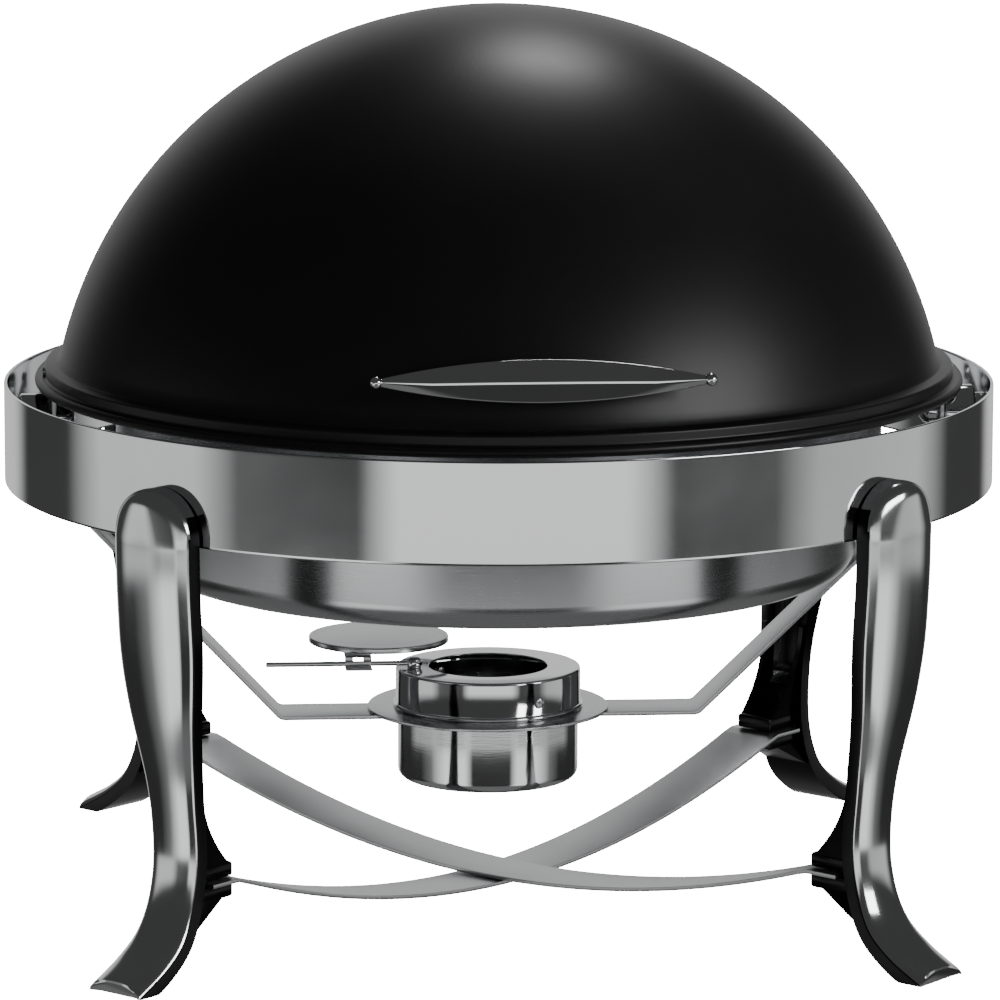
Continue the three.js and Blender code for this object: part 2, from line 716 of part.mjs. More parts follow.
// One side of the arm: level under the plate, then rising to a short foot below the bracket.
function armSide(name, sign) {
  const level = ARM_Z - SHEET / 2;
  const footZ = ARM_FOOT_Z - SHEET / 2;
  const middle = [
    [sign * CUP_RADIUS + BURNER_X, level],
    [sign * ARM_BEND + BURNER_X, level],
    [sign * ARM_FOOT_INNER, footZ],
    [sign * ARM_FOOT_OUTER, footZ],
  ];
  const strip = acrossY(sheetOutline(middle, SHEET), ARM_WIDTH);
  const screwHole = cylinderZ(SCREW_HOLE, footZ - 15, footZ + 15, 12).translate(sign * ARM_SCREW_X, 0, 0);
  const cupHole = cylinderZ(CUP_RADIUS + CUP_CLEARANCE, ARM_Z - 20, ARM_Z + 10, 32).translate(BURNER_X, 0, 0);
  return part(name, cut(strip, screwHole, cupHole), satinSteel);
}

// The flat ring that the burner's collar stands on.
function burnerPlate() {
  const hole = CUP_RADIUS + CUP_CLEARANCE;
  const profile = [
    [hole, PLATE_LOW],
    [PLATE_RADIUS, PLATE_LOW],
    [PLATE_RADIUS, PLATE_TOP],
    [hole, PLATE_TOP],
  ];
  return placed(part("burner_plate", turnedLoop(profile), satinSteel), BURNER_X);
}

// A screw down through a bracket and the arm's foot, and its nut below.
function armScrew(name, turn) {
  const headLow = BRACKET_TOP + GAP;
  const tip = ARM_FOOT_Z - SHEET - 5;
  const profile = [
    [0, tip],
    [SCREW_RADIUS, tip],
    [SCREW_RADIUS, headLow],
    [4.5, headLow],
    [4.2, headLow + 2],
    [0, headLow + 2.8],
  ];
  const screw = turned(profile, 12).translate(ARM_SCREW_X, 0, 0);
  return placed(part(name, screw, fastenerSteel), 0, 0, 0, turn);
}

function armNut(name, turn) {
  const top = ARM_FOOT_Z - SHEET - GAP;
  const nut = cut(cylinderZ(4.8, top - 4, top, 6), cylinderZ(SCREW_HOLE, top - 8, top + 4, 12));
  return placed(part(name, nut.translate(ARM_SCREW_X, 0, 0), fastenerSteel), 0, 0, 0, turn);
}

// ---------------------------------------------------------------- burner
const COLLAR_LOW = PLATE_TOP + GAP;
const RIVET_Z = 101;
const RIVET_RADIUS = 1.5;
const RIVET_HEAD = 2.7;
const RIVET_ANGLES = [["front", -61], ["rear", 119]];
const COLLAR_RIM = 0.8;
const PIVOT_PIN_RADIUS = 1.8;
const PIVOT_HEAD_RADIUS = 3.4;

const rivetHoles = () =>
  RIVET_ANGLES.map(([, degrees]) =>
    cylinderX(RIVET_RADIUS + GAP, CUP_RADIUS - 6, COLLAR_RADIUS + 4, 10)
      .translate(0, 0, RIVET_Z)
      .rotateZ(THREE.MathUtils.degToRad(degrees)),
  );

function burnerCup() {
  const bendX = CUP_RADIUS - CUP_CORNER;
  const bendZ = CUP_BOTTOM + CUP_CORNER;
  const profile = [
    [0, CUP_BOTTOM],
    ...quarterArc(bendX, bendZ, CUP_CORNER, -90, 0, 3),
    [CUP_RADIUS, CUP_TOP],
    [CUP_RADIUS - CUP_WALL, CUP_TOP],
    ...quarterArc(bendX, bendZ, CUP_CORNER - CUP_WALL, 0, -90, 3),
    [0, CUP_BOTTOM + CUP_WALL],
  ];
  return part("burner_cup", cut(turned(profile, 40), ...rivetHoles()), chrome);
}

// The collar round the top of the cup: foot bead, wall and flat rim with the flame hole.
function burnerCollar() {
  const inner = CUP_RADIUS + GAP;
  const foot = COLLAR_RADIUS + 1.3;
  const profile = [
    [inner, COLLAR_LOW],
    [foot, COLLAR_LOW],
    [foot, COLLAR_LOW + 1.4],
    [COLLAR_RADIUS, COLLAR_LOW + 2.2],
    [COLLAR_RADIUS, COLLAR_TOP - 1],
    [COLLAR_RADIUS - 1, COLLAR_TOP],
    [COLLAR_HOLE, COLLAR_TOP],
    [COLLAR_HOLE, COLLAR_TOP - COLLAR_RIM],
    [inner, COLLAR_TOP - COLLAR_RIM],
  ];
  const { x, y } = SNUFFER_PIVOT;
  const bore = cylinderZ(PIVOT_PIN_RADIUS + GAP, COLLAR_TOP - 5, COLLAR_TOP + 5, 12).translate(x, y, 0);
  return part("burner_collar", cut(turnedLoop(profile, 40), ...rivetHoles(), bore), chrome);
}

// A rivet through the collar and the cup.
function collarRivet([where, degrees]) {
  const outer = COLLAR_RADIUS + 0.1;
  const inner = CUP_RADIUS - CUP_WALL - 0.3;
  const profile = [
    [0, inner - 1.3],
    [RIVET_HEAD - 0.5, inner - 0.9],
    [RIVET_HEAD, inner],
    [RIVET_RADIUS, inner],
    [RIVET_RADIUS, outer],
    [RIVET_HEAD, outer],
    [RIVET_HEAD - 0.5, outer + 0.9],
    [0, outer + 1.3],
  ];
  const rivet = turned(profile, 10).rotateY(Math.PI / 2).translate(0, 0, RIVET_Z);
  return placed(
    part(`collar_rivet_${where}`, rivet, fastenerSteel),
    0, 0, 0, THREE.MathUtils.degToRad(degrees),
  );
}

// ---------------------------------------------------------------- snuffer
// Built round its own pivot, with the lever along -X and the open disc behind it.
const TAB_LEFT = -34;
const TAB_RIGHT = -21;
const TAB_LOW = COLLAR_TOP + 0.8;
const EYE_RADIUS = 4;

function snufferDisc() {
  const sheet = 0.8;
  const skirtLow = SNUFFER_TOP - SNUFFER_SKIRT;
  const cap = turned(
    [
      [0, SNUFFER_TOP],
      [SNUFFER_RADIUS - 0.8, SNUFFER_TOP],
      [SNUFFER_RADIUS, SNUFFER_TOP - 0.8],
      [SNUFFER_RADIUS, skirtLow],
      [SNUFFER_RADIUS - sheet, skirtLow],
      [SNUFFER_RADIUS - sheet, SNUFFER_TOP - sheet],
      [0, SNUFFER_TOP - sheet],
    ],
    32,
  );
  return placed(part("snuffer_disc", cap, satinSteel), SNUFFER_OPEN.x, SNUFFER_OPEN.y);
}

// A bent strip that hangs from under the disc, passes in front of the lever and ends in a short lip.
function snufferTab() {
  const top = SNUFFER_TOP - SNUFFER_SKIRT - GAP;
  const front = -LEVER_RADIUS - GAP;
  const under = boxBetween([TAB_LEFT, front - 1, top - 1], [TAB_RIGHT, 16, top]);
  const drop = boxBetween([TAB_LEFT, front - 1, TAB_LOW], [TAB_RIGHT, front, top]);
  const lip = boxBetween([TAB_LEFT, front - 9, TAB_LOW], [TAB_RIGHT, front, TAB_LOW + 1]);
  const slotLow = LEVER_Z + LEVER_RADIUS + 0.3;
  const slot = boxBetween([TAB_LEFT + 4, front - 3, slotLow], [TAB_RIGHT - 4, front + 2, slotLow + 2]);
  return part("snuffer_tab", cut(join(under, drop, lip), slot), satinSteel);
}

// A wire whose end is a flat eye that turns on the pivot.
function snufferLever() {
  const wire = cylinderX(LEVER_RADIUS, -LEVER_LENGTH, -EYE_RADIUS + 1, 10).translate(0, 0, LEVER_Z);
  const eye = cylinderZ(EYE_RADIUS, LEVER_Z - 1, LEVER_Z + 1, 20);
  const bore = cylinderZ(PIVOT_PIN_RADIUS + GAP, LEVER_Z - 5, LEVER_Z + 5, 16);
  return part("snuffer_lever", cut(join(wire, eye), bore), chrome);
}

// The rivet that the lever turns on: a shank through the collar's rim, headed above and below.
function snufferPivot() {
  const rimLow = COLLAR_TOP - COLLAR_RIM - GAP;
  const washer = LEVER_Z - 1 - GAP;
  const head = LEVER_Z + 1 + GAP;
  const profile = [
    [0, rimLow - 1.2],
    [PIVOT_HEAD_RADIUS - 0.4, rimLow - 0.8],
    [PIVOT_HEAD_RADIUS - 0.4, rimLow],
    [PIVOT_PIN_RADIUS, rimLow],
    [PIVOT_PIN_RADIUS, COLLAR_TOP + GAP],
    [PIVOT_HEAD_RADIUS, COLLAR_TOP + GAP],
    [PIVOT_HEAD_RADIUS, washer],
    [PIVOT_PIN_RADIUS, washer],
    [PIVOT_PIN_RADIUS, head],
    [PIVOT_HEAD_RADIUS, head],
    [PIVOT_HEAD_RADIUS - 0.8, head + 1.2],
    [0, head + 1.6],
  ];
  return placed(
    part("snuffer_pivot", turned(profile, 16), fastenerSteel),
    SNUFFER_PIVOT.x, SNUFFER_PIVOT.y,
  );
}

function snuffer() {
  const group = new THREE.Group();
  group.add(snufferDisc(), snufferTab(), snufferLever());
  return placed(group, SNUFFER_PIVOT.x, SNUFFER_PIVOT.y);
}

// ---------------------------------------------------------------- assembly
const chafer = new THREE.Group();

const stand = new THREE.Group();
stand.add(ring(), ...CORNERS.map(corner));
stand.add(
  brace("brace_upper", BRACE_MIDDLE_Z, CORNERS[1][1]),
  brace("brace_lower", BRACE_MIDDLE_Z - SHEET - 2 * GAP, CORNERS[0][1]),
);
stand.add(supportRing(), waterPan(), burnerPlate());
stand.add(armSide("burner_arm_right", 1), armSide("burner_arm_left", -1));
for (const [side, turn] of SIDES) {
  stand.add(
    supportBracket(`support_bracket_${side}`, turn),
    pivotStud(`pivot_stud_${side}`, turn),
    pivotNut(`pivot_nut_${side}`, turn),
    armScrew(`arm_screw_${side}`, turn),
    armNut(`arm_nut_${side}`, turn),
  );
}

const lid = new THREE.Group();
lid.add(lidShell(), handle(), handleNut("handle_nut_left", -1), handleNut("handle_nut_right", 1));
for (const [side, turn] of SIDES) {
  lid.add(lidEar(`lid_ear_${side}`, turn));
  lid.add(earRivet(`ear_rivet_${side}_front`, turn ? EAR_RIVET_Y : -EAR_RIVET_Y, turn));
  lid.add(earRivet(`ear_rivet_${side}_rear`, turn ? -EAR_RIVET_Y : EAR_RIVET_Y, turn));
}

const burner = placed(new THREE.Group(), BURNER_X);
burner.add(burnerCup(), burnerCollar(), ...RIVET_ANGLES.map(collarRivet), snufferPivot(), snuffer());

chafer.add(stand, lid, foodPan(), burner);

export default chafer;
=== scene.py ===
"""Looks of the roll top chafer: detailed pieces round the CAD frame, finishes, studio and camera.

Sizes are in millimetres in the code and become metres when a mesh is made.
"""

import math

import bmesh
import bpy
from mathutils import Matrix, Quaternion, Vector

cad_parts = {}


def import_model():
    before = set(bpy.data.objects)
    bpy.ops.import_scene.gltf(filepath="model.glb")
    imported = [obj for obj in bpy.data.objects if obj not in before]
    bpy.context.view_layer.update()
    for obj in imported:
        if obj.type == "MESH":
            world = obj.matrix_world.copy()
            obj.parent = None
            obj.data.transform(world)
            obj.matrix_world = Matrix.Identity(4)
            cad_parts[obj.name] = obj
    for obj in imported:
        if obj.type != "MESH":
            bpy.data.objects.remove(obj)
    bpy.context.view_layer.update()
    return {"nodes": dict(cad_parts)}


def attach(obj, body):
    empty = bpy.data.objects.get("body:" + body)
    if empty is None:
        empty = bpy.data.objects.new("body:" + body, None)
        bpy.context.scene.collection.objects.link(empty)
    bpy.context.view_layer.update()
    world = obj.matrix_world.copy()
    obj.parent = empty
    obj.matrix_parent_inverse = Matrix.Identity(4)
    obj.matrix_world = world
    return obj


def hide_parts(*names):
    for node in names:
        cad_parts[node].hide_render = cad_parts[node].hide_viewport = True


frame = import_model()
MM = 0.001

# ---------------------------------------------------------------- sizes shared with the CAD
SHEET = 2  # braces, arms, brackets and ears
PAN_SHEET = 1.2
RING_RADIUS = 240
RING_INNER = 238.2
RING_BOTTOM = 207
RING_TOP = 255

PIVOT_Z = 237
JOURNAL_HOLE = 4.3
LID_RADIUS = 218.4
LID_CENTRE_Z = 217.6
LID_WALL = 1.5
LID_SHOULDER_Z = 265
EAR_HALF_WIDTH = 12
EAR_OUTER_X = 216.9
EAR_TOP_Z = 261

HANDLE_TILT = math.radians(18)
HANDLE_OFFSET_X = 4
HANDLE_REACH = 233.5  # ridge of the handle, from the dome's centre
HANDLE_DEPTH = 7
HANDLE_HALF_LENGTH = 76
HANDLE_HALF_HEIGHT = 10.5
HANDLE_STUD_X = 38

LEG_TURN = math.radians(44.3)
LEG_DEPTH = 5.7  # side walls behind the crowned face
LEG_CROWN = 0.4  # crown height as a part of the half width
LEG_WALL = 3.2
LEG_HALF_WAIST = 14
LEG_HALF_TOP = 23
LEG_HALF_FOOT = 16
ARCH = Vector((246, 210.5))  # where the leg's round top starts: distance from the middle, height
TOE_RADIUS = 275.4
SOCKET_Z = 44
SOCKET_INNER = 205
SOCKET_HALF_WIDTH = 10.5
SOCKET_HALF_HEIGHT = 8.5
BRACE_TIP = 224
BRACE_WIDTH = 31

BRACKET_MIDDLE_Z = 207.7
BRACKET_WALL_X = 235.8
STEP_Z = 211.3  # underside of the water pan's step
BURNER_X = -5
ARM_TOP = 90.7
ARM_FOOT_Z = 205.4
ARM_WIDTH = 30
CUP_RADIUS = 44.2
CUP_BOTTOM = 56.8
CUP_WALL = 0.8
COLLAR_RADIUS = 45.3
COLLAR_TOP = 112
RIVET_Z = 101
SCREW_RADIUS = 2.5
SNUFFER_PIVOT = Vector((BURNER_X - 36.5, -4, 0))
SNUFFER_OPEN = Vector((-15.5, 33, 0))
SNUFFER_RADIUS = 34.5
LEVER_Z = 114.3
CORNERS = {
    "front_left": -math.pi / 2 - LEG_TURN,
    "front_right": -math.pi / 2 + LEG_TURN,
    "rear_right": math.pi / 2 - LEG_TURN,
    "rear_left": math.pi / 2 + LEG_TURN,
}
SIDES = {"right": 0, "left": math.pi}


# ---------------------------------------------------------------- materials
MIX_FIRST, MIX_SECOND, MIX_RESULT = 6, 7, 2  # the colour sockets of a Mix node


class Nodes:
    """A material's node tree, built with short calls."""

    def __init__(self, name):
        self.material = bpy.data.materials.new(name)
        self.material.use_nodes = True
        self.tree = self.material.node_tree
        self.shader = self.tree.nodes["Principled BSDF"]

    def add(self, kind, inputs=None, **settings):
        node = self.tree.nodes.new("ShaderNode" + kind)
        for key, value in settings.items():
            setattr(node, key, value)
        for key, value in (inputs or {}).items():
            if isinstance(value, bpy.types.NodeSocket):
                self.tree.links.new(value, node.inputs[key])
            else:
                node.inputs[key].default_value = value
        return node

    def feed(self, socket, value):
        self.tree.links.new(value, self.shader.inputs[socket])

    def ranged(self, value, low, high, start=0.3, end=0.7):
        node = self.add("MapRange", {"Value": value})
        node.inputs["From Min"].default_value = start
        node.inputs["From Max"].default_value = end
        node.inputs["To Min"].default_value = low
        node.inputs["To Max"].default_value = high
        return node.outputs["Result"]

    def blend(self, factor, first, second):
        """A colour between two others, each a socket or red, green and blue."""
        colours = [c if isinstance(c, bpy.types.NodeSocket) else (*c, 1) for c in (first, second)]
        inputs = {"Factor": factor, MIX_FIRST: colours[0], MIX_SECOND: colours[1]}
        return self.add("Mix", inputs, data_type="RGBA").outputs[MIX_RESULT]

    def noise(self, vector, scale, detail=3.0, roughness=0.5):
        inputs = {"Vector": vector, "Scale": scale, "Detail": detail, "Roughness": roughness}
        return self.add("TexNoise", inputs).outputs["Fac"]


def around_z(nodes, centre_x=0.0):
    """Coordinates that run slowly round the Z axis and fast across it: the grain of a turned piece."""
    at = nodes.add("TexCoord").outputs["Object"]
    moved = nodes.add("VectorMath", {0: at, 1: (centre_x * MM, 0, 0)}, operation="SUBTRACT")
    xyz = nodes.add("SeparateXYZ", {"Vector": moved.outputs["Vector"]})
    turn = nodes.add("Math", {0: xyz.outputs["Y"], 1: xyz.outputs["X"]}, operation="ARCTAN2")
    slow = nodes.add("Math", {0: turn.outputs["Value"], 1: 0.003}, operation="MULTIPLY")
    flat = nodes.add("CombineXYZ", {"X": xyz.outputs["X"], "Y": xyz.outputs["Y"]})
    radius = nodes.add("VectorMath", {0: flat.outputs["Vector"]}, operation="LENGTH")
    return nodes.add(
        "CombineXYZ", {"X": slow.outputs["Value"], "Y": radius.outputs["Value"], "Z": xyz.outputs["Z"]}
    ).outputs["Vector"]


def around_burner(nodes):
    return around_z(nodes, BURNER_X)


def stretched(scale):
    """Object coordinates scaled along each axis, for a straight grain."""

    def coordinates(nodes):
        at = nodes.add("TexCoord").outputs["Object"]
        return nodes.add("Mapping", {"Vector": at, "Scale": scale}).outputs["Vector"]

    return coordinates


def metal(name, colours, roughness, grain, grain_scale, bump, coordinates):
    """Bare metal: two tones in soft clouds, and fine lines that follow the coordinates.

    grain is how far the lines change the roughness beside the clouds, and bump how far they press in.
    """
    nodes = Nodes(name)
    vector = coordinates(nodes)
    lines = nodes.noise(vector, grain_scale, detail=4.0, roughness=0.6)
    at = nodes.add("TexCoord").outputs["Object"]
    clouds = nodes.noise(at, 22.0, detail=5.0)
    nodes.feed("Base Color", nodes.blend(nodes.ranged(clouds, 0, 1), *colours))
    nodes.shader.inputs["Metallic"].default_value = 1.0
    both = nodes.add("Math", {0: lines, 1: grain}, operation="MULTIPLY").outputs["Value"]
    mixed = nodes.add("Math", {0: both, 1: clouds}, operation="ADD").outputs["Value"]
    low, high = 0.3 * (1 + grain), 0.7 * (1 + grain)
    nodes.feed("Roughness", nodes.ranged(mixed, *roughness, low, high))
    push = nodes.add("Bump", {"Height": lines, "Strength": bump, "Distance": 0.0002})
    nodes.feed("Normal", push.outputs["Normal"])
    return nodes.material


def black_coat():
    """Soft matte black with a very fine grain."""
    nodes = Nodes("black_coat")
    at = nodes.add("TexCoord").outputs["Object"]
    grain = nodes.noise(at, 900.0, detail=2.0)
    clouds = nodes.noise(at, 9.0, detail=4.0)
    tone = nodes.blend(nodes.ranged(clouds, 0, 1), (0.0075, 0.0075, 0.008), (0.011, 0.011, 0.0115))
    nodes.feed("Base Color", tone)
    nodes.feed("Roughness", nodes.ranged(clouds, 0.36, 0.42))
    push = nodes.add("Bump", {"Height": grain, "Strength": 0.12, "Distance": 0.0002})
    nodes.feed("Normal", push.outputs["Normal"])
    nodes.shader.inputs["Specular IOR Level"].default_value = 0.42
    return nodes.material


def floor_paper():
    """Pale paper that looks evenly bright to the camera, so that it melts into the backdrop."""
    nodes = Nodes("floor_paper")
    at = nodes.add("TexCoord").outputs["Object"]
    nodes.feed("Base Color", nodes.blend(nodes.noise(at, 3.0), (0.93, 0.93, 0.93), (0.95, 0.95, 0.95)))
    nodes.shader.inputs["Roughness"].default_value = 0.9
    nodes.shader.inputs["Emission Color"].default_value = (1, 1, 1, 1)
    seen = nodes.add("LightPath").outputs["Is Camera Ray"]
    glow = nodes.add("Math", {0: seen, 1: FLOOR_GLOW}, operation="MULTIPLY").outputs["Value"]
    nodes.feed("Emission Strength", glow)
    return nodes.material


FLOOR_GLOW = 21.0
STEEL = ((0.60, 0.61, 0.62), (0.66, 0.67, 0.68))
BRIGHT = ((0.80, 0.81, 0.82), (0.86, 0.87, 0.88))
# Painted shade: near black tones for the legs' side walls, channel and socket, standing in for the dark
# reflections that polished chrome shows there.
PAINTED_DARK_REFLECTION = ((0.018, 0.018, 0.019), (0.035, 0.035, 0.037))
DULL = ((0.42, 0.43, 0.44), (0.50, 0.51, 0.52))
UPRIGHT_GRAIN = stretched((1, 1, 0.3))
LONG_GRAIN = stretched((0.03, 1, 1))
EVEN_GRAIN = stretched((1, 1, 1))
MATERIALS = {
    "black_coat": black_coat(),
    "polished_steel": metal("polished_steel", BRIGHT, (0.05, 0.10), 0.4, 2500.0, 0.015, around_z),
    "chrome": metal("chrome", BRIGHT, (0.03, 0.07), 0.2, 600.0, 0.006, UPRIGHT_GRAIN),
    "leg_chrome": metal("leg_chrome", BRIGHT, (0.11, 0.16), 0.2, 600.0, 0.006, UPRIGHT_GRAIN),
    # painted shade: a near black metal for the legs' side walls, channel and socket, in place of the dark
    # surroundings their chrome reflects
    "painted_dark_reflection": metal("painted_dark_reflection", PAINTED_DARK_REFLECTION, (0.14, 0.24), 0.3, 700.0, 0.02, EVEN_GRAIN),
    "satin_turned": metal("satin_turned", STEEL, (0.22, 0.30), 0.8, 2200.0, 0.02, around_z),
    "satin_sheet": metal("satin_sheet", STEEL, (0.26, 0.36), 0.8, 1500.0, 0.05, LONG_GRAIN),
    "burner_chrome": metal("burner_chrome", BRIGHT, (0.05, 0.11), 0.5, 1600.0, 0.03, around_burner),
    "fastener_steel": metal("fastener_steel", DULL, (0.2, 0.32), 0.5, 900.0, 0.04, EVEN_GRAIN),
}


# ---------------------------------------------------------------- mesh helpers
def make(name, parts, body, material, stands_for, place=None, sharp=32, second=None):
    """One piece from (vertices, faces) lists in millimetres.

    second is (material, test): the faces whose normal and middle pass the test take that material.
    """
    vertices, faces = [], []
    for some_vertices, some_faces in parts:
        start = len(vertices)
        vertices += [Vector(v) for v in some_vertices]
        faces += [[start + i for i in face] for face in some_faces]
    if place is not None:
        vertices = [place @ v for v in vertices]
    mesh = bpy.data.meshes.new(name)
    mesh.from_pydata([v * MM for v in vertices], [], faces)
    mesh.validate()
    faces_out(mesh)
    mesh.polygons.foreach_set("use_smooth", [True] * len(mesh.polygons))
    mesh.set_sharp_from_angle(angle=math.radians(sharp))
    mesh.materials.append(MATERIALS[material])
    if second:
        mesh.materials.append(MATERIALS[second[0]])
        back = place.inverted() if place is not None else Matrix()
        for face in mesh.polygons:
            face.material_index = int(second[1](back.to_3x3() @ face.normal, back @ (face.center / MM)))
    piece = bpy.data.objects.new(name, mesh)
    bpy.context.scene.collection.objects.link(piece)
    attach(piece, body)
    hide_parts(*stands_for)
    return piece


def faces_out(mesh):
    """Turns every face of closed parts so that it points out."""
    work = bmesh.new()
    work.from_mesh(mesh)
    bmesh.ops.recalc_face_normals(work, faces=work.faces)
    work.to_mesh(mesh)
    work.free()


def arc(cx, cz, radius, start, end, steps):
    """Points on a circle from one angle in degrees to another."""
    angles = [math.radians(start + (end - start) * i / steps) for i in range(steps + 1)]
    return [(cx + radius * math.cos(a), cz + radius * math.sin(a)) for a in angles]


def rounded(points, radius, closed=True, steps=4):
    """A polyline with its corners turned to arcs of about that radius, or one radius per corner."""
    most = 0.45  # of a side that one corner may take
    nearly_straight = math.pi / 2 - 0.02
    count = len(points)
    radii = radius if isinstance(radius, list) else [radius] * count
    out = []
    for i, point in enumerate(points):
        here = Vector(point)
        if radii[i] == 0 or (not closed and i in (0, count - 1)):
            out.append(tuple(here))
            continue
        back = Vector(points[i - 1]) - here
        on = Vector(points[(i + 1) % count]) - here
        if back.length < 1e-6 or on.length < 1e-6:
            continue
        half = back.angle(on) / 2
        if half > nearly_straight:
            out.append(tuple(here))
            continue
        reach = min(radii[i] / math.tan(half), back.length * most, on.length * most)
        a, b = here + back.normalized() * reach, here + on.normalized() * reach
        for k in range(steps + 1):
            t = k / steps
            out.append(tuple(a * (1 - t) ** 2 + here * 2 * t * (1 - t) + b * t * t))
    return out


def turned(profile, segments=160, closed=False):
    """A surface turned round Z from (radius, height) pairs, which end on the axis or close on themselves."""
    vertices, faces, rows = [], [], []
    for r, z in profile:
        if abs(r) < 1e-6:
            rows.append([len(vertices)] * segments)
            vertices.append((0, 0, z))
        else:
            rows.append(list(range(len(vertices), len(vertices) + segments)))
            for i in range(segments):
                a = 2 * math.pi * i / segments
                vertices.append((r * math.cos(a), r * math.sin(a), z))
    pairs = list(zip(rows, rows[1:])) + ([(rows[-1], rows[0])] if closed else [])
    for low, high in pairs:
        for i in range(segments):
            j = (i + 1) % segments
            face = [low[i], low[j], high[j], high[i]]
            face = [v for k, v in enumerate(face) if v != face[k - 1]]
            if len(face) > 2:
                faces.append(face)
    return vertices, faces


def loft(sections):
    """A closed skin over equal sections, with flat ends."""
    count = len(sections[0])
    vertices = [p for section in sections for p in section]
    faces = [list(range(count))[::-1], [len(vertices) - count + i for i in range(count)]]
    for s in range(len(sections) - 1):
        for i in range(count):
            j = (i + 1) % count
            a, b = s * count, (s + 1) * count
            faces.append([a + i, a + j, b + j, b + i])
    return vertices, faces


def moved(shape, matrix):
    vertices, faces = shape
    return [matrix @ Vector(v) for v in vertices], faces


def lying(shape):
    """Turns a shape made round Z so that its axis runs along +X."""
    return moved(shape, Matrix.Rotation(math.pi / 2, 4, "Y"))


def turn_z(angle):
    return Matrix.Rotation(angle, 4, "Z")


def flat_strip(path, width, thickness, edge=0.35, bend=3.0):
    """A strip of sheet bent along (x, z) points, with eased edges."""
    path = rounded(path, bend, closed=False, steps=6)
    w, t = width / 2, thickness / 2
    corner = rounded([(-w, -t), (w, -t), (w, t), (-w, t)], edge, steps=3)
    sections = []
    for i, (x, z) in enumerate(path):
        before, after = path[max(i - 1, 0)], path[min(i + 1, len(path) - 1)]
        tangent = Vector((after[0] - before[0], 0, after[1] - before[1])).normalized()
        normal = Vector((-tangent.z, 0, tangent.x))
        sections.append([Vector((x, 0, z)) + Vector((0, v, 0)) + normal * u for v, u in corner])
    return loft(sections)


def block(low, high, edge=0.6):
    """A box with eased upright and level edges."""
    (x0, y0, z0), (x1, y1, z1) = low, high
    bevel = [(edge, 0), (edge * 0.3, edge * 0.3), (0, edge)]  # inset, height
    levels = [(inset, z0 + rise) for inset, rise in bevel]
    levels += [(inset, z1 - rise) for inset, rise in bevel[::-1]]
    sections = []
    for inset, z in levels:
        left, right, front, rear = x0 + inset, x1 - inset, y0 + inset, y1 - inset
        corners = [(left, front), (right, front), (right, rear), (left, rear)]
        sections.append([Vector((x, y, z)) for x, y in rounded(corners, edge, steps=3)])
    return loft(sections)


def shift(x=0, y=0, z=0):
    return Matrix.Translation((x, y, z))


def rod(radius, x0, x1, segments=24):
    """A round bar along X with eased ends."""
    cap = min(0.4, radius * 0.4)
    length = x1 - x0
    neck = radius - cap
    profile = [(0, 0), (neck, 0), (radius, cap), (radius, length - cap), (neck, length), (0, length)]
    return moved(lying(turned(profile, segments)), shift(x0))


# ---------------------------------------------------------------- ring and lid
def ring():
    low, high, flat = RING_BOTTOM, RING_TOP, 1.5  # flat keeps the wall's shading straight up to the edges
    profile = [
        (RING_INNER, low),
        (RING_RADIUS, low),
        (RING_RADIUS, low + flat),
        (RING_RADIUS, high - flat),
        (RING_RADIUS, high),
        (RING_INNER, high),
        (RING_INNER, high - flat),
        (RING_INNER, low + flat),
    ]
    skin = turned(rounded(profile, 0.7), 256, closed=True)
    make("ring_band", [skin], "stand", "polished_steel", ["ring"])


def lid_shell():
    """The dome, its upright band, the bead round the bottom, and the inside of all three."""
    shoulder = math.degrees(math.asin((LID_SHOULDER_Z - LID_CENTRE_Z) / LID_RADIUS)) + 0.6
    outer = arc(0, LID_CENTRE_Z, LID_RADIUS, 90, shoulder, 64)
    outer[0] = (0, outer[0][1])
    neck = [outer[-1], (214.3, 264.6), (220, 263.6), (220, 258.4), (223.5, 258.2)]
    bead = arc(222.6, 256.1, 2.35, 70, -100, 12)
    back = [(218.6, 254.1), (218.5, 262.2), (212.4, 263.4)]
    under = arc(0, LID_CENTRE_Z, LID_RADIUS - LID_WALL, shoulder, 90, 64)
    under[-1] = (0, under[-1][1])
    eased_neck = rounded(neck, 1.2, closed=False)[1:]
    eased_back = rounded(back, 1.0, closed=False)
    skin = turned(outer + eased_neck + bead + eased_back + under, 224)
    make("lid_dome", [skin], "lid", "black_coat", ["lid_shell"], sharp=40)


def towards_handle():
    """From a frame with +X out through the handle to the lid's own."""
    tilt = Matrix.Rotation(-HANDLE_TILT, 4, "Y")
    return shift(HANDLE_OFFSET_X, 0, LID_CENTRE_Z) @ turn_z(-math.pi / 2) @ tilt


def handle_bar(back):
    """A bar with a soft ridge that tapers towards both tips."""
    tip_half_height = 1.6
    sections = []
    steps = 60
    for i in range(steps + 1):
        t = -1 + 2 * i / steps
        swell = 1 - t * t
        h = tip_half_height + (HANDLE_HALF_HEIGHT - tip_half_height) * swell
        ridge = HANDLE_REACH - 3 + 3 * swell
        outline = [(back, -h * 0.85), (back + 2, -h), (ridge, 0), (back + 2, h), (back, h * 0.85)]
        smooth = rounded(outline, [0.8, 1.6, 6, 1.6, 0.8], steps=8)
        sections.append([Vector((x, t * HANDLE_HALF_LENGTH, z)) for x, z in smooth])
    return loft(sections)


